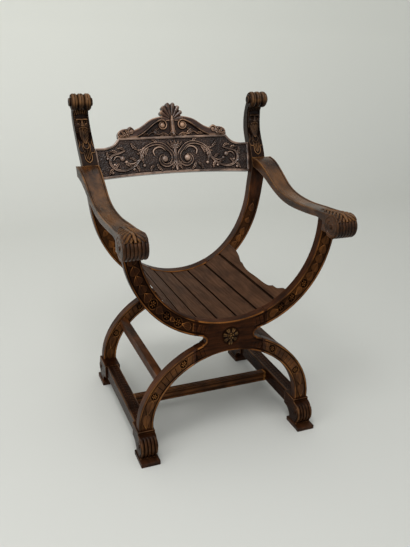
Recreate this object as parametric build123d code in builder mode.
from build123d import *
from collections import namedtuple
from math import asin, atan2, copysign, cos, degrees, hypot, radians, sin, tan
import os

# A Savonarola (Dante) armchair with fixed X frames: a front and a rear frame, each a U-shaped bow
# standing on an arch, joined at a solid hub, with arms, a raked carved crest and a slatted seat.
# Millimetres. +Z is up, the front of the chair faces -Y, and +X is to the right seen from the front.
# Depths are measured backwards from the front frame's front face.

# ---------------------------------------------------------------- fits
GLUE_LINE = 0.15            # between faces that are glued or screwed together
TENON_CLEARANCE = 0.25      # round a tenon or a dowel, each side
TENON_END_GAP = 1.0         # at the bottom of a mortise or a dowel hole

# ---------------------------------------------------------------- bows and arches
FRONT_THICKNESS = 26.0      # of the plank that the front frame is sawn from
REAR_THICKNESS = 30.0       # of the plank that the rear frame is sawn from
FRAME_SPACING = 429.5       # front face of the front frame to front face of the rear frame
U_BAND = 45.0               # width of a U bow's curved member
ARCH_BAND = 42.5            # width of a leg arch's curved member
U_EXPONENT = 2.1            # 2 is an ellipse, more is squarer
ARCH_EXPONENT = 1.89

FRONT_U_HALF_WIDTH = 309.0
FRONT_U_HEIGHT = 316.5      # from the bottom of the bow to the level where its sides stand upright
FRONT_U_BOTTOM = 345.0
REAR_U_HALF_WIDTH = 293.0
REAR_U_HEIGHT = 337.0
REAR_U_BOTTOM = 335.5

FRONT_ARCH_HALF_WIDTH = 269.5
FRONT_ARCH_HEIGHT = 240.5
REAR_ARCH_HALF_WIDTH = 267.0
REAR_ARCH_HEIGHT = 239.5
HUB_OVERLAP = 4.0           # height between the top of an arch and the bottom of its bow

HUB_JOINT_X = 104.0         # the hub's end faces, where uprights and legs are doweled on
JOINT_ALLOWANCE = 4.0       # angle by which a band is drawn past a joint before it is cut there
NOTCH_TIP_X = 73.0          # the rounded tip of the cusp between bow and arch
NOTCH_RADIUS = 10.5
MOULD_EDGE = 8.0            # width of the plain edge bead along the face of a band
MOULD_DEPTH = 2.2           # depth of the sunk ground between the beads

# ---------------------------------------------------------------- base
PAD_THICKNESS = 12.0
PAD_LENGTH = 73.0
PAD_WIDTH = 56.0
FOOT_WIDTH = 50.0
PAD_CORNER = 2.0
PAD_EDGE = 1.2
PAD_LIP = 12.0              # of a pad beyond the toe of its foot
FOOT_REACH = 34.0           # how far the front scroll feet stand in front of the legs
REAR_FOOT_REACH = 12.0      # how far the rear ones stand behind
RUNNER_WIDTH = 38.0
RUNNER_TOP = 88.0
RUNNER_UNDERSIDE = 44.0
RUNNER_LEDGE = 8.0          # height of the plain band along the runner's top
LEDGE_PROUD = 3.0           # of the ledge beyond the leg's face
FOOT_NECK = 1.0             # of the scroll's neck beyond the leg's face, under the ledge
FOOT_BELLY_RISE = 6.0       # of the scroll's fullest point above the foot's middle height
FOOT_TUCK = 9.0             # of the scroll behind its fullest point, just above the pad
FOOT_TUCK_RISE = 8.0
FOOT_HEEL = 12.0            # of the foot's underside short of the pad's inner edge
FOOT_SPRING = 40.0          # length of the arch from the heel up to the runner's underside
FOOT_SPRING_DROP = 10.0     # of that arch below the runner's underside, near the heel
FOOT_SPRING_START = 11.0
FOOT_EYE_RADIUS = 11.0
FOOT_EYE_INSET = 5.0        # from the scroll's fullest point
FOOT_EYE_PROUD = 1.6
CROSS_DEPTH = 23.0
CROSS_HEIGHT = 33.0
CROSS_TOP = 75.0
CROSS_AXIS_DEPTH = 206.0
CROSS_CHAMFER = 3.0
CROSS_TENON = 16.0
CROSS_SHOULDER = 6.0
SIDE_STRETCHER_WIDTH = 22.0
SIDE_STRETCHER_HEIGHT = 30.0
SIDE_STRETCHER_ANGLE = 53.5   # where on the leg arches it lands, 0 at the top, 90 at the foot

# ---------------------------------------------------------------- seat
SLAT_THICKNESS = 12.0
SLAT_GAP = 2.4
SLAT_LAP = 5.0              # of a board's lower half under the next board out from the middle
LAP_CLEARANCE = 0.5
SEAT_DROP = 4.0             # seat surface below the inner edge of the bows
SLAT_EDGES = (29.5, 91.0, 144.0)   # gap centres, out from the middle
SEAT_HALF_WIDTH = 180.0     # at the ears of the end boards
# an end board's outer edge: share of the seat's depth from the front, and how far it is cut in there
END_BOARD_FRONT = ((0.0, 2.0), (0.05, 5.5), (0.075, 10.5), (0.105, 12.3), (0.14, 12.5))
END_BOARD_WAIST = ((0.14, 12.5), (0.17, 18.0), (0.21, 20.5), (0.35, 21.5), (0.53, 22.5), (0.6, 19.5),
                   (0.64, 16.5))
END_BOARD_BACK = ((0.64, 16.5), (0.69, 15.0), (0.72, 11.5), (0.82, 4.0), (1.0, 0.5))
BEARER_THICKNESS = 20.0
BEARER_HEIGHT = 22.0
BEARER_SET_IN = 2.0         # of a bearer's end from the edge of the seat

# ---------------------------------------------------------------- rear posts
POST_RISE = 255.5           # centre of the scroll at the head of a post, above the rear bow's end
POST_ROLL_RADIUS = 25.5
POST_ROLL_WIDTH = 58.0
POST_ROLL_DEPTH = 75.0      # centre of the scroll behind the rear frame's front face
POST_ROLL_REEDS = 3
POST_REED_RISE = 4.0
POST_BUTTON_RADIUS = 13.0
POST_BUTTON_PROUD = 6.0
POST_WIDTH = 48.0
POST_CURVE_END = 78.0       # angle on the rear bow where the post leaves its curve
# share of the rise, outward lean of the outer edge, backward rake of the front face, depth of the post
POST_SHAPE = (
    (0.07, 6.5, 0.0, 30.0),
    (0.165, 9.8, 5.0, 33.0),
    (0.295, 13.0, 17.0, 37.0),
    (0.47, 15.8, 46.0, 37.0),
    (0.595, 17.5, 68.0, 34.0),
    (0.695, 19.5, 79.0, 32.0),
    (0.855, 22.5, 88.0, 25.0),
)
POST_TOP_LEAN = 24.0
POST_SHOULDER_BACK = 23.0   # of the point where the back rounds over, behind the scroll's centre
POST_SHOULDER_RISE = 10.0

# ---------------------------------------------------------------- arms
ARM_OUTSET = 5.5            # arm's centre line outside the centre line of the front upright
ARM_TAIL_OUTSET = 11.2      # the same outside the centre line of the post, at the arm's tail
ARM_TAIL_RISE = 76.0        # top of the arm's tail above the rear bow's end
ARM_ROLL_RADIUS = 33.0
ARM_ROLL_FORWARD = 47.0     # centre of the roll in front of the front frame
ARM_ROLL_DROP = 8.5         # centre of the roll below the arm's underside at the front upright
ARM_NECK_SHARE = 0.7        # of the roll's radius, where the roll runs back under the arm
ARM_TENON = 10.0
ARM_FLAT = 4.0              # of the arm's flat underside behind the front upright
# share of the way from the front frame to the rear one, and of the rise from the front upright to the tail
ARM_TOP = ((0.05, 0.19), (0.17, 0.149), (0.3, 0.098), (0.435, 0.098), (0.585, 0.184), (0.67, 0.31),
           (0.75, 0.506), (0.855, 0.77), (0.95, 0.943), (1.05, 1.0))
ARM_UNDER = ((0.16, -0.052), (0.295, -0.109), (0.43, -0.132), (0.575, -0.057), (0.66, 0.063),
             (0.745, 0.23), (0.855, 0.471), (0.96, 0.632), (1.05, 0.69))
ARM_WIDTH = 60.0            # seen from above, over the front upright
# the same share of the way, and the width there as a share of the arm's
ARM_PLAN = ((-0.21, 1.1), (0.05, 1.0), (0.44, 0.883), (0.77, 0.967), (1.05, 1.167))

# ---------------------------------------------------------------- crest
CREST_RAKE = 22.3           # lean of the crest board from upright, degrees
CREST_FOOT_RISE = 27.5      # foot of the board above the rear bow's end
CREST_SETBACK = 17.0        # crest's front face behind the rear frame's front face, at its foot
CREST_THICKNESS = 20.0
CREST_ARCH = 13.0           # rise of the lower edge at the middle
CREST_END_HEIGHT = 100.0
CREST_HEIGHT = 129.0        # up the board, at the shoulders and between them
CREST_SHOULDER_X = 182.0
CREST_END_FLAT = 30.0       # level stretch of the top edge beside a post
CREST_CYMA_SHARE = 0.6      # of the way from that stretch to the shoulder
CREST_CYMA_RISE = 0.3       # of the height between them, at that share
CREST_HOUSING = 8.0         # how far a crest end may reach into the outer half of a post's face
CREST_BORDER = 8.0
CREST_SUNK = 3.0
CRESTING_THICKNESS = 20.0
SHELL_RADIUS = 38.0
SHELL_RISE = 71.0           # centre of the shell above the crest's top edge
SHELL_LOBES = 8
SHELL_LOBE_SHARE = 0.18     # radius of a lobe, as a share of the shell's
SHELL_START = -22.5         # angle of the lowest lobe on the right
SHELL_HINGE_SHARE = 0.3     # of the shell's radius, where its flutes begin
SHELL_HINGE_FLUTE = 1.5     # radius of a flute there
SHELL_FLUTE_SHARE = 0.8     # radius of a flute at the rim, as a share of its lobe's
VOLUTE_RADIUS = 15.0
VOLUTE_BAND = 4.0
VOLUTE_EYE_RADIUS = 6.0
VOLUTE_PROUD = 3.0
VOLUTE_X = 34.0
VOLUTE_RISE = 38.0
# upper edge of the cresting from shoulder to shell: shares of the shoulder's X and of the shell's rise
SHOULDER_LEAF = ((1.0, 0.0), (0.995, 0.225), (0.907, 0.38), (0.835, 0.394))
SHOULDER_VOLUTE = ((0.835, 0.394), (0.764, 0.479), (0.703, 0.338))
CRESTING_BAND = ((0.703, 0.338), (0.582, 0.465), (0.407, 0.761), (0.209, 0.901))

# ---------------------------------------------------------------- fasteners
DOWEL_RADIUS = 5.0
DOWEL_LENGTH = 30.0
DOWEL_OFFSET = 7.5          # from a band's middle line
ARM_DOWEL_LENGTH = 40.0
CREST_DOWEL_LENGTH = 40.0
CREST_DOWEL_SHARES = (0.25, 0.75)   # up the height of a crest end
SCREW_RADIUS = 2.0
SCREW_LENGTH = 24.0
SCREW_BITE = 8.0            # of a slat screw into its board
END_SCREW_SHARE = 0.3       # across an end board, out from its inner edge
ROSETTE_RADIUS = 26.0
ROSETTE_THICKNESS = 6.0
ROSETTE_PETALS = 8
ROSETTE_PETAL_SHARE = 0.32  # radius of a petal, as a share of the rosette's
ROSETTE_HEART_SHARE = 0.3
ROSETTE_RISE = 2.0          # of its centre above the hub's middle height

Bow = namedtuple("Bow", "half_width height middle_z side exponent band depth thickness")

FRONT_U = Bow(FRONT_U_HALF_WIDTH, FRONT_U_HEIGHT, FRONT_U_BOTTOM, -1, U_EXPONENT, U_BAND,
              0.0, FRONT_THICKNESS)
REAR_U = Bow(REAR_U_HALF_WIDTH, REAR_U_HEIGHT, REAR_U_BOTTOM, -1, U_EXPONENT, U_BAND,
             FRAME_SPACING, REAR_THICKNESS)
FRONT_ARCH = Bow(FRONT_ARCH_HALF_WIDTH, FRONT_ARCH_HEIGHT, FRONT_U_BOTTOM - HUB_OVERLAP, 1,
                 ARCH_EXPONENT, ARCH_BAND, 0.0, FRONT_THICKNESS)
REAR_ARCH = Bow(REAR_ARCH_HALF_WIDTH, REAR_ARCH_HEIGHT, REAR_U_BOTTOM - HUB_OVERLAP, 1,
                ARCH_EXPONENT, ARCH_BAND, FRAME_SPACING, REAR_THICKNESS)

CREST_LEAN = tan(radians(CREST_RAKE))
CRESTING_TOP = CREST_HEIGHT + SHELL_RISE + SHELL_RADIUS
REAR_REACH = (FRAME_SPACING + CREST_SETBACK + CRESTING_TOP * sin(radians(CREST_RAKE))
              + CREST_THICKNESS * cos(radians(CREST_RAKE)))
FRONT_REACH = ARM_ROLL_FORWARD + ARM_ROLL_RADIUS
MIDDLE_DEPTH = (REAR_REACH - FRONT_REACH) / 2
UPRIGHT_TOP = FRONT_U_BOTTOM + FRONT_U_HEIGHT
REAR_BOW_END = REAR_U_BOTTOM + REAR_U_HEIGHT
POST_TOP = REAR_BOW_END + POST_RISE
CREST_FOOT_Z = REAR_BOW_END + CREST_FOOT_RISE


def world_y(depth):
    """Y of a depth behind the front frame's front face; the origin is under the chair's middle."""
    return depth - MIDDLE_DEPTH


def cross_plane(depth):
    """Upright plane across the chair at a depth, drawn in X and Z, facing the front."""
    return Plane.XZ.offset(-world_y(depth))


def side_plane(x):
    """Upright plane along the chair at an X, drawn in Y and Z."""
    return Plane.YZ.offset(x)


def bow_point(bow, inset, angle):
    """Point (x, z) on a bow, inset from its outer edge; 0 degrees is its middle and 90 its end."""
    sine = sin(radians(angle))
    cosine = cos(radians(angle))
    power = 2 / bow.exponent
    x = copysign(abs(sine) ** power, sine) * (bow.half_width - inset)
    rise = abs(cosine) ** power * (bow.height - inset)
    end_z = bow.middle_z - bow.side * bow.height
    return (x, end_z + bow.side * rise)


def bow_angle(bow, inset, x):
    """Angle at which an edge of a bow passes an x."""
    return degrees(asin((x / (bow.half_width - inset)) ** (bow.exponent / 2)))


def bow_z(bow, inset, x):
    """Height of a bow's edge at an x."""
    return bow_point(bow, inset, bow_angle(bow, inset, abs(x)))[1]


def bow_edge(bow, inset, start, end, count=9):
    """Points along a bow's edge between two angles."""
    return [bow_point(bow, inset, start + (end - start) * i / (count - 1)) for i in range(count)]


def band_face(bow, near, far, start, end):
    """Curved band between two insets of a bow, from one angle to another."""
    outer = bow_edge(bow, near, start, end)
    inner = bow_edge(bow, far, start, end)
    with BuildLine() as outline:
        Spline(*outer)
        Line(outer[-1], inner[-1])
        Spline(*reversed(inner))
        Line(inner[0], outer[0])
    make_face(outline.wires())


def export(builder, name):
    builder.part.label = name
    export_step(builder.part, f"parts/{name}.step")


SIDES = {"left": -1, "right": 1}
os.makedirs("parts", exist_ok=True)
U_MIDDLE = U_BAND / 2
ARCH_MIDDLE = ARCH_BAND / 2
FRAMES = {"front": (FRONT_U, FRONT_ARCH), "rear": (REAR_U, REAR_ARCH)}
HOLE_RADIUS = DOWEL_RADIUS + TENON_CLEARANCE
HOLE_LENGTH = DOWEL_LENGTH + 2 * TENON_END_GAP


def middle_depth(bow):
    """Depth of the middle of a frame's thickness."""
    return bow.depth + bow.thickness / 2


def joint_dowels(bow, side, radius, length, mode=Mode.ADD):
    """Two dowels, or their holes, along X across one end face of a hub."""
    band_z = bow_z(bow, bow.band / 2, HUB_JOINT_X)
    y = world_y(middle_depth(bow))
    for offset in (-DOWEL_OFFSET, DOWEL_OFFSET):
        with Locations((side * HUB_JOINT_X, y, band_z + offset)):
            Cylinder(radius, length, rotation=(0, 90, 0), mode=mode)


def side_of_joint(side, low_z, high_z):
    """Keeps what a sketch has outside a hub's joint face, on one side, between two heights."""
    width = FRONT_U_HALF_WIDTH * 2
    with Locations((side * (HUB_JOINT_X + GLUE_LINE / 2 + width / 2), (low_z + high_z) / 2)):
        Rectangle(width, high_z - low_z, mode=Mode.INTERSECT)


def sink_band(bow, start, end, low_z, high_z, side):
    """Sinks the ground of a member's front face between its two edge beads."""
    with BuildSketch(cross_plane(bow.depth)) as ground:
        band_face(bow, MOULD_EDGE, bow.band - MOULD_EDGE, start, end)
        side_of_joint(side, low_z, high_z)
    extrude(ground.sketch, amount=-MOULD_DEPTH, mode=Mode.SUBTRACT)


# ================================================================ hubs of the two frames
for name, (bow, arch) in FRAMES.items():
    u_limit = bow_angle(bow, 0, HUB_JOINT_X) + JOINT_ALLOWANCE
    arch_limit = bow_angle(arch, 0, HUB_JOINT_X) + JOINT_ALLOWANCE
    web_top = bow.middle_z + U_MIDDLE
    web_bottom = arch.middle_z - ARCH_MIDDLE
    notch_x = NOTCH_TIP_X + NOTCH_RADIUS
    notch_z = (bow_z(bow, 0, notch_x) + bow_z(arch, 0, notch_x)) / 2
    with BuildPart() as hub:
        with BuildSketch(cross_plane(bow.depth)):
            band_face(bow, 0, U_BAND, -u_limit, u_limit)
            band_face(arch, 0, ARCH_BAND, -arch_limit, arch_limit)
            with Locations((0, (web_top + web_bottom) / 2)):
                Rectangle(2 * notch_x, web_top - web_bottom)
            with Locations((-notch_x, notch_z), (notch_x, notch_z)):
                Circle(NOTCH_RADIUS, mode=Mode.SUBTRACT)
            with Locations((0, bow.middle_z)):
                Rectangle(2 * HUB_JOINT_X - GLUE_LINE, bow.height, mode=Mode.INTERSECT)
        extrude(amount=-bow.thickness)
        for side in SIDES.values():
            joint_dowels(bow, side, HOLE_RADIUS, HOLE_LENGTH, Mode.SUBTRACT)
            joint_dowels(arch, side, HOLE_RADIUS, HOLE_LENGTH, Mode.SUBTRACT)
    export(hub, f"{name}_hub")

with BuildPart() as dowels:
    for bow, arch in FRAMES.values():
        for side in SIDES.values():
            joint_dowels(bow, side, DOWEL_RADIUS, DOWEL_LENGTH)
            joint_dowels(arch, side, DOWEL_RADIUS, DOWEL_LENGTH)
export(dowels, "hub_dowels")

# ================================================================ front uprights
UPRIGHT_X = FRONT_U_HALF_WIDTH - U_MIDDLE
ARM_TENON_WIDTH = U_BAND - 2 * MOULD_EDGE
ARM_TENON_DEPTH = FRONT_THICKNESS / 2

for name, side in SIDES.items():
    start = bow_angle(FRONT_U, 0, HUB_JOINT_X) - JOINT_ALLOWANCE
    with BuildPart() as upright:
        with BuildSketch(cross_plane(0)):
            band_face(FRONT_U, 0, U_BAND, side * start, side * 90)
            side_of_joint(side, 0, 2 * UPRIGHT_TOP)
        extrude(amount=-FRONT_THICKNESS)
        sink_band(FRONT_U, side * start, side * 90, 0, 2 * UPRIGHT_TOP, side)
        with BuildSketch(Plane.XY.offset(UPRIGHT_TOP)):
            with Locations((side * UPRIGHT_X, world_y(FRONT_THICKNESS / 2))):
                Rectangle(ARM_TENON_WIDTH, ARM_TENON_DEPTH)
        extrude(amount=ARM_TENON)
        joint_dowels(FRONT_U, side, HOLE_RADIUS, HOLE_LENGTH, Mode.SUBTRACT)
    export(upright, f"front_upright_{name}")

# ================================================================ legs
LEG_TENON_LENGTH = 22.0
LEG_TENON_WIDTH = ARCH_BAND - 2 * MOULD_EDGE
LEG_TENON_SHARE = 0.45
STRETCHER_TENON = 12.0
STRETCHER_SHOULDER = 5.0


def leg_middle_x(arch):
    return arch.half_width - ARCH_MIDDLE


def stretcher_point(arch):
    """Where a side stretcher's middle line meets a leg, in X and Z."""
    return bow_point(arch, ARCH_MIDDLE, SIDE_STRETCHER_ANGLE)


def stretcher_tenon(arch, side, grow):
    """Section of the stub tenon of a side stretcher, drawn on a cross plane."""
    x, z = stretcher_point(arch)
    with Locations((side * x, z)):
        Rectangle(SIDE_STRETCHER_WIDTH - 2 * STRETCHER_SHOULDER + 2 * grow,
                  SIDE_STRETCHER_HEIGHT - 2 * STRETCHER_SHOULDER + 2 * grow)


def leg_tenon(arch, side, grow):
    """Plan of the tenon at the foot of a leg."""
    with Locations((side * leg_middle_x(arch), world_y(middle_depth(arch)))):
        Rectangle(LEG_TENON_WIDTH + 2 * grow, arch.thickness * LEG_TENON_SHARE + 2 * grow)


LEG_FOOT = RUNNER_TOP + GLUE_LINE
for frame, (bow, arch) in FRAMES.items():
    start = bow_angle(arch, 0, HUB_JOINT_X) - JOINT_ALLOWANCE
    end_z = arch.middle_z - arch.height
    for name, side in SIDES.items():
        with BuildPart() as leg:
            with BuildSketch(cross_plane(arch.depth)):
                band_face(arch, 0, ARCH_BAND, side * start, side * 90)
                with Locations((side * leg_middle_x(arch), (end_z + LEG_FOOT) / 2)):
                    Rectangle(ARCH_BAND, end_z - LEG_FOOT)
                side_of_joint(side, 0, arch.middle_z)
            extrude(amount=-arch.thickness)
            sink_band(arch, side * start, side * 90, 0, arch.middle_z, side)
            with BuildSketch(Plane.XY.offset(LEG_FOOT)):
                leg_tenon(arch, side, 0)
            extrude(amount=-LEG_TENON_LENGTH)
            joint_dowels(arch, side, HOLE_RADIUS, HOLE_LENGTH, Mode.SUBTRACT)
            inner_face = arch.depth if frame == "rear" else arch.depth + arch.thickness
            inwards = -1 if frame == "rear" else 1
            with BuildSketch(cross_plane(inner_face)):
                stretcher_tenon(arch, side, TENON_CLEARANCE)
            extrude(amount=inwards * (STRETCHER_TENON + TENON_END_GAP), mode=Mode.SUBTRACT)
        export(leg, f"{frame}_leg_{name}")

# ================================================================ side stretchers
for name, side in SIDES.items():
    front_end = FRONT_THICKNESS + GLUE_LINE
    rear_end = FRAME_SPACING - GLUE_LINE
    with BuildPart() as stretcher:
        for depth, arch in ((front_end, FRONT_ARCH), (rear_end, REAR_ARCH)):
            x, z = stretcher_point(arch)
            with BuildSketch(cross_plane(depth)):
                with Locations((side * x, z)):
                    Rectangle(SIDE_STRETCHER_WIDTH, SIDE_STRETCHER_HEIGHT)
        loft(ruled=True)
        with BuildSketch(cross_plane(front_end)):
            stretcher_tenon(FRONT_ARCH, side, 0)
        extrude(amount=STRETCHER_TENON)
        with BuildSketch(cross_plane(rear_end)):
            stretcher_tenon(REAR_ARCH, side, 0)
        extrude(amount=-STRETCHER_TENON)
    export(stretcher, f"side_stretcher_{name}")

# ================================================================ base runners with scroll feet
RUNNER_X = leg_middle_x(FRONT_ARCH)
FOOT_BOTTOM = PAD_THICKNESS + GLUE_LINE
FOOT_MIDDLE = (RUNNER_TOP + FOOT_BOTTOM) / 2
RUNNER_INNER = RUNNER_X - RUNNER_WIDTH / 2
CROSS_MIDDLE = CROSS_TOP - CROSS_HEIGHT / 2
CROSS_TENON_DEPTH = CROSS_DEPTH - CROSS_SHOULDER
CROSS_TENON_HEIGHT = CROSS_HEIGHT - 2 * CROSS_SHOULDER
REAR_FACE = FRAME_SPACING + REAR_THICKNESS
# outer face of the leg, reach of the scroll beyond it, and the way that the scroll faces
FEET = {"front": (0.0, FOOT_REACH, -1), "rear": (REAR_FACE, REAR_FOOT_REACH, 1)}


def pad_depth(end):
    """Depth of the middle of a plinth pad."""
    leg_face, toe, facing = FEET[end]
    return leg_face + facing * (toe + PAD_LIP - PAD_LENGTH / 2)


def foot_inner_depth(end):
    """Depth at which a scroll foot's arch has reached the plain runner."""
    leg_face, toe, facing = FEET[end]
    return pad_depth(end) - facing * (PAD_LENGTH / 2 - FOOT_HEEL + FOOT_SPRING)


def foot_outline(end):
    """Side view of a scroll foot, drawn on a side plane."""
    leg_face, toe, facing = FEET[end]
    heel = (pad_depth(end) - leg_face) * facing - PAD_LENGTH / 2 + FOOT_HEEL
    inner = heel - FOOT_SPRING
    ledge_z = RUNNER_TOP - RUNNER_LEDGE

    def point(out, z):
        return (world_y(leg_face + facing * out), z)

    neck = point(FOOT_NECK, ledge_z)
    tuck = point(toe - FOOT_TUCK, FOOT_BOTTOM + FOOT_TUCK_RISE)
    heel_point = point(heel, FOOT_BOTTOM)
    with BuildLine() as outline:
        Polyline(point(inner, RUNNER_TOP), point(LEDGE_PROUD, RUNNER_TOP), point(LEDGE_PROUD, ledge_z), neck)
        ThreePointArc(neck, point(toe, FOOT_MIDDLE + FOOT_BELLY_RISE), tuck)
        Polyline(tuck, point(toe - FOOT_TUCK, FOOT_BOTTOM), heel_point)
        ThreePointArc(heel_point, point(heel - FOOT_SPRING_START, RUNNER_UNDERSIDE - FOOT_SPRING_DROP),
                      point(inner, RUNNER_UNDERSIDE))
        Line(point(inner, RUNNER_UNDERSIDE), point(inner, RUNNER_TOP))
    make_face(outline.wires())


for name, side in SIDES.items():
    with BuildPart() as runner:
        for end in FEET:
            with BuildSketch(side_plane(side * RUNNER_X - FOOT_WIDTH / 2)):
                foot_outline(end)
            extrude(amount=FOOT_WIDTH)
        beam_front = foot_inner_depth("front") - FOOT_SPRING / 2
        beam_back = foot_inner_depth("rear") + FOOT_SPRING / 2
        with BuildSketch(side_plane(side * RUNNER_X - RUNNER_WIDTH / 2)):
            with Locations((world_y((beam_front + beam_back) / 2), (RUNNER_TOP + RUNNER_UNDERSIDE) / 2)):
                Rectangle(beam_back - beam_front, RUNNER_TOP - RUNNER_UNDERSIDE)
        extrude(amount=RUNNER_WIDTH)
        for leg_face, toe, facing in FEET.values():
            eye_y = world_y(leg_face + facing * (toe - FOOT_EYE_RADIUS - FOOT_EYE_INSET))
            with Locations((side * RUNNER_X, eye_y, FOOT_MIDDLE)):
                Cylinder(FOOT_EYE_RADIUS, FOOT_WIDTH + 2 * FOOT_EYE_PROUD, rotation=(0, 90, 0))
        for arch in (FRONT_ARCH, REAR_ARCH):
            with BuildSketch(Plane.XY.offset(RUNNER_TOP)):
                leg_tenon(arch, side, TENON_CLEARANCE)
            extrude(amount=-LEG_TENON_LENGTH - TENON_END_GAP, mode=Mode.SUBTRACT)
        with Locations((side * (RUNNER_INNER + CROSS_TENON / 2), world_y(CROSS_AXIS_DEPTH), CROSS_MIDDLE)):
            Box(CROSS_TENON + 2 * TENON_END_GAP, CROSS_TENON_DEPTH + 2 * TENON_CLEARANCE,
                CROSS_TENON_HEIGHT + 2 * TENON_CLEARANCE, mode=Mode.SUBTRACT)
    export(runner, f"base_runner_{name}")
    for end in FEET:
        with BuildPart() as pad:
            with Locations((side * RUNNER_X, world_y(pad_depth(end)), PAD_THICKNESS / 2)):
                Box(PAD_WIDTH, PAD_LENGTH, PAD_THICKNESS)
            fillet(pad.edges().filter_by(Axis.Z), PAD_CORNER)
            chamfer(pad.faces().sort_by(Axis.Z)[-1].edges(), PAD_EDGE)
        export(pad, f"foot_pad_{end}_{name}")

with BuildPart() as cross_stretcher:
    with Locations((0, world_y(CROSS_AXIS_DEPTH), CROSS_MIDDLE)):
        Box(2 * (RUNNER_INNER - GLUE_LINE), CROSS_DEPTH, CROSS_HEIGHT)
        chamfer(cross_stretcher.edges().filter_by(Axis.X), CROSS_CHAMFER)
        Box(2 * (RUNNER_INNER + CROSS_TENON), CROSS_TENON_DEPTH, CROSS_TENON_HEIGHT)
export(cross_stretcher, "cross_stretcher")

# ================================================================ slatted seat
SEAT_FRONT = FRONT_THICKNESS + GLUE_LINE
SEAT_BACK = FRAME_SPACING - GLUE_LINE
edges = [-edge for edge in reversed(SLAT_EDGES)] + list(SLAT_EDGES)
starts = [-SEAT_HALF_WIDTH] + [edge + SLAT_GAP / 2 for edge in edges]
ends = [edge - SLAT_GAP / 2 for edge in edges] + [SEAT_HALF_WIDTH]
BOARDS = list(zip(starts, ends))
BOARD_NAMES = ["seat_end_board_left"] + [f"seat_slat_{i}" for i in range(1, 6)] + ["seat_end_board_right"]


def board_frame(bow, start, end):
    """Function for points of a board's section: 0 at its start or 1 at its end, distance out, depth."""
    x0, z0 = start, bow_z(bow, U_BAND, start) - SEAT_DROP
    x1, z1 = end, bow_z(bow, U_BAND, end) - SEAT_DROP
    length = hypot(x1 - x0, z1 - z0)
    along = ((x1 - x0) / length, (z1 - z0) / length)

    def corner(at_end, out, down):
        x = x1 + along[0] * out if at_end else x0 - along[0] * out
        z = z1 + along[1] * out if at_end else z0 - along[1] * out
        return (x + along[1] * down, z - along[0] * down)

    return corner


def board_section(bow, start, end, top, bottom, widen=0.0):
    """Corners of a plain board's section between two distances below the seat's surface."""
    corner = board_frame(bow, start, end)
    return [corner(0, widen, top), corner(1, widen, top), corner(1, widen, bottom), corner(0, widen, bottom)]


def lapped_edge(near, far):
    """One edge of a board, from the top down, as distances out and depths."""
    half = SLAT_THICKNESS / 2
    if abs(near) == SEAT_HALF_WIDTH:
        return [(0, 0), (0, SLAT_THICKNESS)]
    if abs(near) > abs(far) or near == -far:
        lip = SLAT_GAP + SLAT_LAP
        return [(0, 0), (0, half), (lip, half), (lip, SLAT_THICKNESS)]
    rebate = -SLAT_LAP - LAP_CLEARANCE
    ceiling = half - GLUE_LINE
    return [(0, 0), (0, ceiling), (rebate, ceiling), (rebate, SLAT_THICKNESS)]


def lapped_section(bow, start, end):
    """Corners of a board's section, with a lip under the next board out and a rebate over the last."""
    corner = board_frame(bow, start, end)
    return ([corner(1, out, down) for out, down in lapped_edge(end, start)]
            + [corner(0, out, down) for out, down in reversed(lapped_edge(start, end))])


def screw_places(bow, depth):
    """Screw of each board at a frame: X, depth, Z of the board's underside there and its tilt."""
    for start, end in BOARDS:
        corners = board_section(bow, start, end, 0, SLAT_THICKNESS)
        (xr, zr), (xl, zl) = corners[2], corners[3]
        share = 0.5
        if start == -SEAT_HALF_WIDTH:
            share = 1 - END_SCREW_SHARE
        if end == SEAT_HALF_WIDTH:
            share = END_SCREW_SHARE
        yield (xl + (xr - xl) * share, depth, zl + (zr - zl) * share, degrees(atan2(zr - zl, xr - xl)))


def slat_screws(bow, depth, grow, mode=Mode.ADD):
    """Screws, or their holes, driven up through a bearer into the boards."""
    for x, y, z, tilt in screw_places(bow, depth):
        with Locations(Location((x, world_y(y), z), (0, -tilt, 0))):
            with Locations((0, 0, SCREW_BITE - SCREW_LENGTH / 2)):
                Cylinder(SCREW_RADIUS + grow, SCREW_LENGTH + grow, mode=mode)


def end_board_edge(table, side):
    """Points in plan along a stretch of an end board's shaped outer edge."""
    return [(side * (SEAT_HALF_WIDTH - cut), world_y(SEAT_FRONT + share * (SEAT_BACK - SEAT_FRONT)))
            for share, cut in table]


BEARER_FRONT = SEAT_FRONT + BEARER_THICKNESS / 2
BEARER_BACK = SEAT_BACK - BEARER_THICKNESS / 2
for name, (start, end) in zip(BOARD_NAMES, BOARDS):
    with BuildPart() as board:
        for depth, bow in ((SEAT_FRONT, FRONT_U), (SEAT_BACK, REAR_U)):
            with BuildSketch(cross_plane(depth)):
                with BuildLine():
                    Polyline(*lapped_section(bow, start, end), close=True)
                make_face()
        loft(ruled=True)
        if "end_board" in name:
            side = SIDES[name.rsplit("_", 1)[-1]]
            clear_x = side * FRONT_U_HALF_WIDTH
            with BuildSketch(Plane.XY.offset(FRONT_U_BOTTOM)):
                with BuildLine():
                    Spline(*end_board_edge(END_BOARD_FRONT, side))
                    Spline(*end_board_edge(END_BOARD_WAIST, side))
                    Spline(*end_board_edge(END_BOARD_BACK, side))
                    front_ear = end_board_edge(END_BOARD_FRONT, side)[0]
                    back_ear = end_board_edge(END_BOARD_BACK, side)[-1]
                    Polyline(back_ear, (clear_x, back_ear[1]), (clear_x, front_ear[1]), front_ear)
                make_face()
            extrude(amount=FRONT_U_HEIGHT / 2, mode=Mode.SUBTRACT)
        slat_screws(FRONT_U, BEARER_FRONT, TENON_CLEARANCE, Mode.SUBTRACT)
        slat_screws(REAR_U, BEARER_BACK, TENON_CLEARANCE, Mode.SUBTRACT)
    export(board, name)

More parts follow.
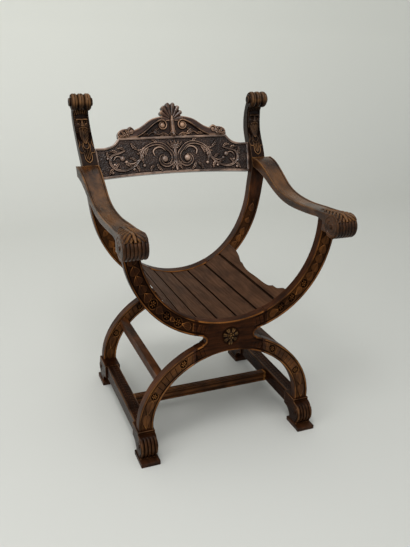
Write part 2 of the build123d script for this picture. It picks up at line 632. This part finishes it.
# ================================================================ seat bearers
for name, bow, near in (("front", FRONT_U, SEAT_FRONT), ("rear", REAR_U, SEAT_BACK - BEARER_THICKNESS)):
    low_inset = U_BAND - SEAT_DROP - SLAT_THICKNESS - BEARER_HEIGHT
    limit = bow_angle(bow, low_inset, SEAT_HALF_WIDTH) + JOINT_ALLOWANCE
    with BuildPart() as bearer:
        with BuildSketch(cross_plane(near)):
            band_face(bow, low_inset, U_BAND, -limit, limit)
            with Locations((0, bow.middle_z)):
                Rectangle(2 * (SEAT_HALF_WIDTH - BEARER_SET_IN), bow.height, mode=Mode.INTERSECT)
        extrude(amount=-BEARER_THICKNESS)
        for start, end in BOARDS:
            for depth, end_bow in ((SEAT_FRONT, FRONT_U), (SEAT_BACK, REAR_U)):
                with BuildSketch(cross_plane(depth)):
                    with BuildLine():
                        Polyline(*board_section(end_bow, start, end, -U_BAND, SLAT_THICKNESS + GLUE_LINE,
                                                SLAT_GAP + SLAT_LAP + LAP_CLEARANCE), close=True)
                    make_face()
            loft(ruled=True, mode=Mode.SUBTRACT)
        screw_depth = BEARER_FRONT if name == "front" else BEARER_BACK
        slat_screws(bow, screw_depth, TENON_CLEARANCE, Mode.SUBTRACT)
    export(bearer, f"{name}_seat_bearer")

with BuildPart() as screws:
    slat_screws(FRONT_U, BEARER_FRONT, 0)
    slat_screws(REAR_U, BEARER_BACK, 0)
export(screws, "slat_screws")

# ================================================================ rear posts
POST_ROWS = [(REAR_BOW_END + share * POST_RISE, *row) for share, *row in POST_SHAPE]


def post_lean(z):
    """Outward lean of a post's outer edge, and backward rake of its front face, at a height."""
    for (z0, lean0, rake0, depth0), (z1, lean1, rake1, depth1) in zip(POST_ROWS, POST_ROWS[1:]):
        if z <= z1:
            share = (z - z0) / (z1 - z0)
            return (lean0 + (lean1 - lean0) * share, rake0 + (rake1 - rake0) * share)
    return (POST_TOP_LEAN, rake1)


def post_edge(inset, width_share):
    """Points up one edge of the right-hand post in front view: 0 for the outer, 1 for the inner."""
    start = bow_angle(REAR_U, 0, HUB_JOINT_X) - JOINT_ALLOWANCE
    points = bow_edge(REAR_U, inset, start, POST_CURVE_END)
    for z, lean, rake, depth in POST_ROWS:
        points.append((REAR_U_HALF_WIDTH + lean - width_share * POST_WIDTH, z))
    points.append((REAR_U_HALF_WIDTH + POST_TOP_LEAN - width_share * POST_WIDTH, POST_TOP))
    return points


def post_front_view(side, grow=0.0):
    """Outline of a post in front view; grow widens it towards the middle of the chair."""
    outer = [(side * x, z) for x, z in post_edge(0, 0)]
    inner = [(side * (x - grow), z) for x, z in post_edge(U_BAND, 1)]
    with BuildLine() as outline:
        Spline(*outer)
        Line(outer[-1], inner[-1])
        Spline(*reversed(inner))
        Line(inner[0], outer[0])
    make_face(outline.wires())


def post_side_view(shift=0.0):
    """Outline of a post in side view, drawn in Y and Z; shift moves it forwards."""
    front = [(world_y(FRAME_SPACING + rake - shift), z) for z, lean, rake, depth in POST_ROWS]
    back = [(world_y(FRAME_SPACING + rake + depth - shift), z) for z, lean, rake, depth in POST_ROWS]
    foot_front = (front[0][0], REAR_U_BOTTOM - 1)
    foot_back = (back[0][0], REAR_U_BOTTOM - 1)
    roll_y = world_y(FRAME_SPACING + POST_ROLL_DEPTH - shift)
    shoulder = (roll_y + POST_SHOULDER_BACK, POST_TOP + POST_SHOULDER_RISE)
    crown = (roll_y, POST_TOP + POST_ROLL_RADIUS - POST_REED_RISE)
    with BuildLine() as outline:
        Line(foot_back, foot_front)
        Line(foot_front, front[0])
        Spline(*front, tangents=((0, 1), (0, 1)))
        Polyline(front[-1], (roll_y, POST_TOP), crown)
        Spline(crown, shoulder, *reversed(back), tangents=((1, 0), (0, -1)))
        Line(back[0], foot_back)
    make_face(outline.wires())


def crest_dowels(side, radius, length, mode=Mode.ADD):
    """Two dowels, or their holes, between a crest end and its post."""
    for share in CREST_DOWEL_SHARES:
        up = CREST_END_HEIGHT * share
        z = CREST_FOOT_Z + up * cos(radians(CREST_RAKE))
        back = CREST_THICKNESS / 2 / cos(radians(CREST_RAKE))
        y = world_y(FRAME_SPACING + CREST_SETBACK + (z - CREST_FOOT_Z) * CREST_LEAN + back)
        x = REAR_U_HALF_WIDTH + post_lean(z)[0] - POST_WIDTH
        with Locations((side * x, y, z)):
            Cylinder(radius, length, rotation=(0, 90, 0), mode=mode)


ARM_RISE = REAR_BOW_END + ARM_TAIL_RISE - UPRIGHT_TOP
ARM_TAIL_Z = UPRIGHT_TOP + ARM_RISE * (ARM_TOP[-1][1] + ARM_UNDER[-1][1]) / 2


def arm_tail_dowels(side, radius, length, mode=Mode.ADD):
    """Two dowels, or their holes, along Y between an arm's tail and its post."""
    z = ARM_TAIL_Z
    lean, rake = post_lean(z)
    x = REAR_U_HALF_WIDTH + lean - POST_WIDTH / 2
    for offset in (-POST_WIDTH / 4, POST_WIDTH / 4):
        with Locations((side * x + offset, world_y(FRAME_SPACING + rake), z)):
            Cylinder(radius, length, rotation=(90, 0, 0), mode=mode)


def post_roll(centre):
    """Roll along X at the head of a post, with round reeds side by side along it."""
    reed = POST_ROLL_WIDTH / POST_ROLL_REEDS
    end = POST_ROLL_WIDTH / 2
    groove = POST_ROLL_RADIUS - POST_REED_RISE
    with BuildSketch(Plane(origin=centre, x_dir=(1, 0, 0), z_dir=(0, -1, 0))) as profile:
        with BuildLine() as outline:
            for i in range(POST_ROLL_REEDS):
                left = i * reed - end
                ThreePointArc((left, groove), (left + reed / 2, POST_ROLL_RADIUS), (left + reed, groove))
            Polyline((end, groove), (end, 0), (-end, 0), (-end, groove))
        make_face(outline.wires())
    revolve(profile.sketch, axis=Axis(centre, (1, 0, 0)))


for name, side in SIDES.items():
    roll_x = side * (REAR_U_HALF_WIDTH + POST_TOP_LEAN - POST_WIDTH / 2)
    roll_y = world_y(FRAME_SPACING + POST_ROLL_DEPTH)
    with BuildPart() as post:
        with BuildSketch(cross_plane(FRAME_SPACING - 1)):
            post_front_view(side)
            side_of_joint(side, 0, 2 * POST_TOP)
        extrude(amount=-FRAME_SPACING / 2)
        with BuildSketch(side_plane(0)):
            post_side_view()
        extrude(amount=side * 2 * REAR_U_HALF_WIDTH, mode=Mode.INTERSECT)
        post_roll((roll_x, roll_y, POST_TOP))
        with Locations((roll_x, roll_y, POST_TOP)):
            Cylinder(POST_BUTTON_RADIUS, POST_ROLL_WIDTH + 2 * POST_BUTTON_PROUD, rotation=(0, 90, 0))
        start = bow_angle(REAR_U, 0, HUB_JOINT_X) - JOINT_ALLOWANCE
        sink_band(REAR_U, side * start, side * POST_CURVE_END, 0, POST_TOP, side)
        joint_dowels(REAR_U, side, HOLE_RADIUS, HOLE_LENGTH, Mode.SUBTRACT)
        crest_dowels(side, HOLE_RADIUS, CREST_DOWEL_LENGTH + 2 * TENON_END_GAP, Mode.SUBTRACT)
        arm_tail_dowels(side, HOLE_RADIUS, ARM_DOWEL_LENGTH + 2 * TENON_END_GAP, Mode.SUBTRACT)
    export(post, f"back_post_{name}")

# ================================================================ arms
ARM_X = UPRIGHT_X + ARM_OUTSET
ARM_TAIL_X = REAR_U_HALF_WIDTH + post_lean(ARM_TAIL_Z)[0] - POST_WIDTH / 2 + ARM_TAIL_OUTSET
ROLL_Z = UPRIGHT_TOP - ARM_ROLL_DROP
ROLL_Y = world_y(-ARM_ROLL_FORWARD)


def arm_edge(side, half):
    """Points in plan along an arm's inner edge, with half -0.5, or its outer edge, with half 0.5."""
    points = []
    for share, width in ARM_PLAN:
        middle = ARM_X + (ARM_TAIL_X - ARM_X) * max(share, 0)
        points.append((side * (middle + half * width * ARM_WIDTH), world_y(share * FRAME_SPACING)))
    return points


for name, side in SIDES.items():
    under_z = UPRIGHT_TOP + GLUE_LINE
    neck_z = ROLL_Z - ARM_ROLL_RADIUS * ARM_NECK_SHARE
    top = [(world_y(share * FRAME_SPACING), UPRIGHT_TOP + ARM_RISE * rise) for share, rise in ARM_TOP]
    under = [(world_y(share * FRAME_SPACING), under_z + ARM_RISE * rise) for share, rise in ARM_UNDER]
    under.insert(0, (world_y(FRONT_THICKNESS + ARM_FLAT), under_z))
    roll_top = (ROLL_Y, ROLL_Z + ARM_ROLL_RADIUS)
    inner = arm_edge(side, -0.5)
    outer = arm_edge(side, 0.5)
    with BuildPart() as arm:
        with BuildSketch(side_plane(side * (ARM_X - U_BAND))):
            with BuildLine() as outline:
                Spline(roll_top, *top, tangents=((1, 0), (1, 0.05)))
                Line(top[-1], under[-1])
                Spline(*reversed(under))
                Polyline(under[0], (world_y(-GLUE_LINE), under_z), (world_y(-GLUE_LINE), neck_z),
                         (ROLL_Y, neck_z), roll_top)
            make_face(outline.wires())
            with Locations((ROLL_Y, ROLL_Z)):
                Circle(ARM_ROLL_RADIUS)
            with BuildSketch(Plane.XY, mode=Mode.SUBTRACT):
                post_side_view(GLUE_LINE)
        extrude(amount=side * 2 * U_BAND)
        with BuildSketch(Plane.XY.offset(UPRIGHT_TOP - U_BAND)):
            with BuildLine() as plan:
                Spline(*inner)
                Line(inner[-1], outer[-1])
                Spline(*reversed(outer))
                Line(outer[0], inner[0])
            make_face(plan.wires())
        extrude(amount=REAR_U_HEIGHT, mode=Mode.INTERSECT)
        with BuildSketch(Plane.XY.offset(UPRIGHT_TOP)):
            with Locations((side * UPRIGHT_X, world_y(FRONT_THICKNESS / 2))):
                Rectangle(ARM_TENON_WIDTH + 2 * TENON_CLEARANCE, ARM_TENON_DEPTH + 2 * TENON_CLEARANCE)
        extrude(amount=ARM_TENON + TENON_END_GAP, mode=Mode.SUBTRACT)
        arm_tail_dowels(side, HOLE_RADIUS, ARM_DOWEL_LENGTH + 2 * TENON_END_GAP, Mode.SUBTRACT)
    export(arm, f"armrest_{name}")

with BuildPart() as arm_dowels:
    for side in SIDES.values():
        arm_tail_dowels(side, DOWEL_RADIUS, ARM_DOWEL_LENGTH)
export(arm_dowels, "arm_dowels")

# ================================================================ crest board
CREST_PLANE = Plane(
    origin=(0, world_y(FRAME_SPACING + CREST_SETBACK), CREST_FOOT_Z),
    x_dir=(1, 0, 0),
    z_dir=(0, -cos(radians(CREST_RAKE)), sin(radians(CREST_RAKE))),
)
CREST_REACH = REAR_U_HALF_WIDTH
CREST_FOOT_LEAN = post_lean(CREST_FOOT_Z)[0]
CREST_END_X = REAR_U_HALF_WIDTH + CREST_FOOT_LEAN - POST_WIDTH - GLUE_LINE


def crest_outline(border):
    """Outline of the crest board, or of its sunk ground when border is over 0."""
    top_lean = post_lean(CREST_FOOT_Z + CREST_END_HEIGHT * cos(radians(CREST_RAKE)))[0]
    flat_x = REAR_U_HALF_WIDTH + top_lean - POST_WIDTH - CREST_END_FLAT
    shoulder_x = CREST_SHOULDER_X - border
    reach = CREST_END_X - border if border else CREST_REACH
    high = CREST_HEIGHT - border
    end_high = CREST_END_HEIGHT - border
    cyma_x = flat_x - (flat_x - shoulder_x) * CREST_CYMA_SHARE
    cyma_z = end_high + (high - end_high) * CREST_CYMA_RISE
    with BuildLine() as outline:
        ThreePointArc((-reach, border), (0, border + CREST_ARCH), (reach, border))
        Polyline((reach, border), (reach, end_high), (flat_x, end_high))
        ThreePointArc((flat_x, end_high), (cyma_x, cyma_z), (shoulder_x, high))
        Line((shoulder_x, high), (-shoulder_x, high))
        ThreePointArc((-shoulder_x, high), (-cyma_x, cyma_z), (-flat_x, end_high))
        Polyline((-flat_x, end_high), (-reach, end_high), (-reach, border))
    make_face(outline.wires())


with BuildPart() as crest:
    with BuildSketch(CREST_PLANE):
        crest_outline(0)
    extrude(amount=-CREST_THICKNESS)
    with BuildSketch(CREST_PLANE):
        crest_outline(CREST_BORDER)
    extrude(amount=-CREST_SUNK, mode=Mode.SUBTRACT)
    for side in SIDES.values():
        with BuildSketch(cross_plane(FRAME_SPACING - 1)):
            post_front_view(side, GLUE_LINE)
        extrude(amount=-FRAME_SPACING / 2, mode=Mode.SUBTRACT)
        with Locations((side * (2 * CREST_REACH - CREST_HOUSING), world_y(FRAME_SPACING), CREST_FOOT_Z)):
            Box(2 * CREST_REACH, FRAME_SPACING, FRAME_SPACING, mode=Mode.SUBTRACT)
        crest_dowels(side, HOLE_RADIUS, CREST_DOWEL_LENGTH + 2 * TENON_END_GAP, Mode.SUBTRACT)
export(crest, "crest_panel")

with BuildPart() as crest_pegs:
    for side in SIDES.values():
        crest_dowels(side, DOWEL_RADIUS, CREST_DOWEL_LENGTH)
export(crest_pegs, "crest_dowels")

# ================================================================ cresting with shell and volutes
CRESTING_BASE = CREST_HEIGHT + GLUE_LINE
with BuildPart() as cresting:
    lobe = SHELL_RADIUS * SHELL_LOBE_SHARE
    with BuildSketch(CREST_PLANE):
        for side in SIDES.values():
            def edge(table):
                return [(side * share * CREST_SHOULDER_X, CRESTING_BASE + rise * SHELL_RISE)
                        for share, rise in table]

            leaf, volute, slope = edge(SHOULDER_LEAF), edge(SHOULDER_VOLUTE), edge(CRESTING_BAND)
            with BuildLine() as band:
                Spline(*leaf)
                Spline(*volute)
                Spline(*slope)
                Polyline(slope[-1], (0, slope[-1][1]), (0, CRESTING_BASE), leaf[0])
            make_face(band.wires())
        with Locations((0, CREST_HEIGHT + SHELL_RISE)):
            Circle(SHELL_RADIUS - lobe)
            with PolarLocations(SHELL_RADIUS - lobe, SHELL_LOBES, start_angle=SHELL_START,
                                angular_range=180 - 2 * SHELL_START, endpoint=True):
                Circle(lobe)
    extrude(amount=-CRESTING_THICKNESS)
    hinge = SHELL_RADIUS * SHELL_HINGE_SHARE
    rim = SHELL_RADIUS - lobe
    flute = lobe * SHELL_FLUTE_SHARE
    for i in range(SHELL_LOBES):
        angle = SHELL_START + (180 - 2 * SHELL_START) * i / (SHELL_LOBES - 1)
        with Locations(CREST_PLANE * Location((0, CREST_HEIGHT + SHELL_RISE, 0), (0, 0, angle))):
            with Locations(Location((hinge, 0, 0), (0, 90, 0))):
                Cone(SHELL_HINGE_FLUTE, flute, rim - hinge, align=(Align.CENTER, Align.CENTER, Align.MIN),
                     mode=Mode.SUBTRACT)
            with Locations((rim, 0, 0)):
                Sphere(flute, mode=Mode.SUBTRACT)
    with BuildSketch(CREST_PLANE):
        with Locations((-VOLUTE_X, CREST_HEIGHT + VOLUTE_RISE), (VOLUTE_X, CREST_HEIGHT + VOLUTE_RISE)):
            Circle(VOLUTE_RADIUS)
            Circle(VOLUTE_RADIUS - VOLUTE_BAND, mode=Mode.SUBTRACT)
            Circle(VOLUTE_EYE_RADIUS)
    extrude(amount=VOLUTE_PROUD)
export(cresting, "crest_carving")

# ================================================================ rosette on the front hub
ROSETTE_Z = (FRONT_U.middle_z + U_MIDDLE + FRONT_ARCH.middle_z - ARCH_MIDDLE) / 2 + ROSETTE_RISE
PETAL_RADIUS = ROSETTE_RADIUS * ROSETTE_PETAL_SHARE
with BuildPart() as rosette:
    with BuildSketch(cross_plane(-GLUE_LINE)):
        with Locations((0, ROSETTE_Z)):
            Circle(ROSETTE_RADIUS - PETAL_RADIUS)
            with PolarLocations(ROSETTE_RADIUS - PETAL_RADIUS, ROSETTE_PETALS):
                Circle(PETAL_RADIUS)
    extrude(amount=ROSETTE_THICKNESS / 2)
    with BuildSketch(cross_plane(-GLUE_LINE)):
        with Locations((0, ROSETTE_Z)):
            Circle(ROSETTE_RADIUS * ROSETTE_HEART_SHARE)
    extrude(amount=ROSETTE_THICKNESS)
export(rosette, "front_rosette")
